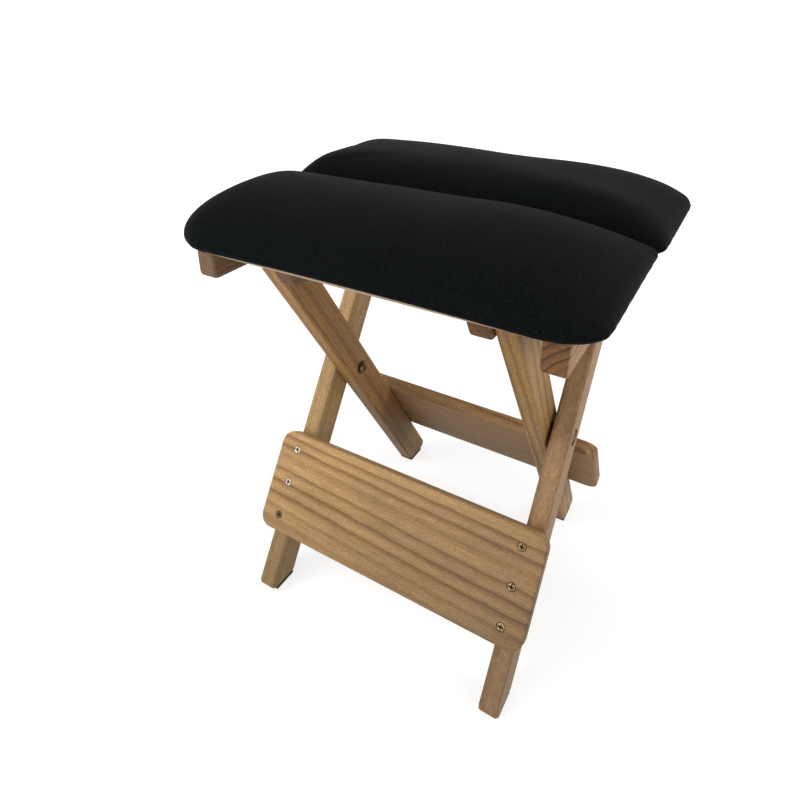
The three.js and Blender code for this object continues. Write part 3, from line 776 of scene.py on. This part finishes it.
def cushion(half, form):
    """One seat half. The rear one is made like the front one and then turned round."""
    mesh, held, bulge_height = cushion_mesh(half, form)
    piece = bpy.data.objects.new(f"{half}_cushion", mesh)
    bpy.context.collection.objects.link(piece)
    inflate(piece, held)
    crease(mesh, form, bulge_height, PLEAT_SEEDS[half], DENT_SEEDS[half])
    if half == "rear":
        mesh.transform(Matrix.Rotation(math.pi, 4, "Z"))
    for face in mesh.polygons:
        face.use_smooth = True
    smooth = piece.modifiers.new("smooth", "SUBSURF")
    smooth.levels = 1
    smooth.render_levels = 1
    mesh.materials.append(leatherette(f"{half}_leatherette"))
    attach(piece, f"{half}_seat")
    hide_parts(f"{half}_seat_cover", f"{half}_seat_foam")


def inflate(piece, held):
    """Lets the cover swell over its padding like cloth, held at its tucked edge, then keeps that shape."""
    group = piece.vertex_groups.new(name="held")
    group.add(held, 1, "REPLACE")
    start = [vertex.co.copy() for vertex in piece.data.vertices]
    cloth = piece.modifiers.new("cloth", "CLOTH")
    settings = cloth.settings
    settings.quality = CLOTH_QUALITY
    settings.mass = CLOTH_MASS
    settings.use_pressure = True
    settings.uniform_pressure_force = CLOTH_PRESSURE
    settings.effector_weights.gravity = 0
    settings.vertex_group_mass = "held"
    cloth.point_cache.frame_start = 1
    cloth.point_cache.frame_end = CLOTH_FRAMES
    for step in range(1, CLOTH_FRAMES + 1):
        bpy.context.scene.frame_set(step)
    depsgraph = bpy.context.evaluated_depsgraph_get()
    swollen = [vertex.co.copy() for vertex in piece.evaluated_get(depsgraph).data.vertices]
    piece.modifiers.remove(cloth)
    piece.vertex_groups.remove(group)
    bpy.context.scene.frame_set(1)
    for vertex, old, new in zip(piece.data.vertices, start, swollen):
        move = new - old
        if move.length > CLOTH_CAP:
            move.length = CLOTH_CAP
        vertex.co += move


def crease(mesh, form, bulge_height, pleat_seed, dent_seed):
    """Small pleats where the cover is pulled round its corners, and shallow dents on top."""
    mesh.update()
    normals = [vertex.normal.copy() for vertex in mesh.vertices]
    corners = [(x, y) for x in (-form.left, form.right) for y in (-form.outer_edge, -form.seam_edge)]
    for vertex, normal in zip(mesh.vertices, normals):
        x, y, z = vertex.co
        nearest = min(math.hypot(x - corner_x, y - corner_y) for corner_x, corner_y in corners)
        near_corner = max(0, 1 - nearest / (2 * form.outer_left_radius))
        near_bulge = max(0, 1 - abs(z - bulge_height) / PLEAT_RISE)
        drift = noise.noise((x / PLEAT_DRIFT_SPACING, y / PLEAT_DRIFT_SPACING, pleat_seed))
        pleat = math.sin(2 * math.pi * (abs(x) - abs(y)) / PLEAT_SPACING + PLEAT_DRIFT * drift)
        dent = noise.noise((x * DENTS_PER_METRE, y * DENTS_PER_METRE, dent_seed))
        lifted = max(0, min(1, (z - bulge_height) / PLEAT_RISE))
        vertex.co += normal * (PLEAT_DEPTH * near_corner * near_bulge * pleat + DENT_DEPTH * lifted * dent)


cushion("front", FRONT_FORM)
cushion("rear", REAR_FORM)

# Camera: the place and lens that the photograph was taken with

CAMERA_PLACE = Vector((0.23192, -0.47166, 0.57180))
CAMERA_YAW = math.radians(31.97)
CAMERA_PITCH = math.radians(-25.15)
CAMERA_ROLL = -0.01
LENS = 27.80
FRAME_SHIFT = (0.0154, -0.1354)
CLIP_START = 0.01


def photograph_camera():
    camera = bpy.data.objects.new("camera", bpy.data.cameras.new("camera"))
    bpy.context.collection.objects.link(camera)
    right = Vector((math.cos(CAMERA_YAW), math.sin(CAMERA_YAW), 0))
    view = Vector((-math.sin(CAMERA_YAW) * math.cos(CAMERA_PITCH),
                   math.cos(CAMERA_YAW) * math.cos(CAMERA_PITCH),
                   math.sin(CAMERA_PITCH)))
    above = right.cross(view)
    rolled_right = right * math.cos(CAMERA_ROLL) + above * math.sin(CAMERA_ROLL)
    rolled_above = above * math.cos(CAMERA_ROLL) - right * math.sin(CAMERA_ROLL)
    facing = Matrix((rolled_right, rolled_above, -view)).transposed()
    camera.matrix_world = Matrix.Translation(CAMERA_PLACE) @ facing.to_4x4()
    camera.data.lens = LENS
    camera.data.shift_x, camera.data.shift_y = FRAME_SHIFT
    camera.data.clip_start = CLIP_START
    bpy.context.scene.camera = camera


photograph_camera()

# Studio: a pale floor that glows white far from the object, a white surround and soft lamps

FLOOR_HALF = 6.0
FLOOR_GREY = 0.5
FLOOR_ROUGHNESS = 0.9
NEAR_FLOOR = 0.35
FAR_FLOOR = 1.3
NEAR_GLOW = 0.68
FAR_GLOW = 1.0
WORLD_LIGHT = 0.5


def seen_by(tree, *rays):
    """A socket that is 1 for the named kinds of ray and 0 for the rest."""
    path = tree.nodes.new("ShaderNodeLightPath")
    seen = path.outputs[rays[0]]
    for ray in rays[1:]:
        most = tree.nodes.new("ShaderNodeMath")
        most.operation = "MAXIMUM"
        tree.links.new(seen, most.inputs[0])
        tree.links.new(path.outputs[ray], most.inputs[1])
        seen = most.outputs[0]
    return seen


def studio_floor():
    mesh = bpy.data.meshes.new("floor")
    corners = [(-FLOOR_HALF, -FLOOR_HALF), (FLOOR_HALF, -FLOOR_HALF),
               (FLOOR_HALF, FLOOR_HALF), (-FLOOR_HALF, FLOOR_HALF)]
    mesh.from_pydata([(x, y, 0) for x, y in corners], [], [(0, 1, 2, 3)])
    floor = bpy.data.objects.new("floor", mesh)
    bpy.context.collection.objects.link(floor)
    surface = Surface("floor_white", specular=0.0)
    surface.shader.inputs["Base Color"].default_value = (FLOOR_GREY, FLOOR_GREY, FLOOR_GREY, 1)
    surface.shader.inputs["Roughness"].default_value = FLOOR_ROUGHNESS
    surface.shader.inputs["Emission Color"].default_value = (1, 1, 1, 1)
    distance = surface.vectors("LENGTH", surface.place)
    fade = surface.spread(distance, NEAR_FLOOR, FAR_FLOOR, NEAR_GLOW, FAR_GLOW)
    glow = surface.maths("MULTIPLY", fade, seen_by(surface.tree, "Is Camera Ray", "Is Glossy Ray"))
    surface.put(surface.shader.inputs["Emission Strength"], glow)
    mesh.materials.append(surface.material)
    floor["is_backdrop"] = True


def studio_world():
    world = bpy.data.worlds.new("studio")
    bpy.context.scene.world = world
    world.use_nodes = True
    tree = world.node_tree
    background = tree.nodes["Background"]
    background.inputs["Color"].default_value = (1, 1, 1, 1)
    strength = tree.nodes.new("ShaderNodeMapRange")
    strength.inputs["To Min"].default_value = WORLD_LIGHT
    strength.inputs["To Max"].default_value = 1
    tree.links.new(seen_by(tree, "Is Camera Ray", "Is Glossy Ray", "Is Transmission Ray"),
                   strength.inputs["Value"])
    tree.links.new(strength.outputs["Result"], background.inputs["Strength"])


LAMP_TARGET = Vector((0, 0, 0.25))


def lamp(name, place, size, power):
    light = bpy.data.lights.new(name, "AREA")
    light.shape = "DISK"
    light.size = size
    light.energy = power
    holder = bpy.data.objects.new(name, light)
    bpy.context.collection.objects.link(holder)
    holder.location = place
    holder.rotation_mode = "QUATERNION"
    holder.rotation_quaternion = (LAMP_TARGET - Vector(place)).to_track_quat("-Z", "Y")


studio_floor()
studio_world()
lamp("key", place=(-1.3, -1.5, 1.7), size=1.1, power=21)
lamp("front", place=(-0.3, -2.4, 0.7), size=1.4, power=16)
lamp("side", place=(2.2, -0.9, 0.8), size=1.2, power=9)
lamp("rim", place=(1.6, 1.1, 1.4), size=1.0, power=12)

bpy.context.scene.view_settings.view_transform = "Standard"

# The visual model's box

low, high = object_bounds()
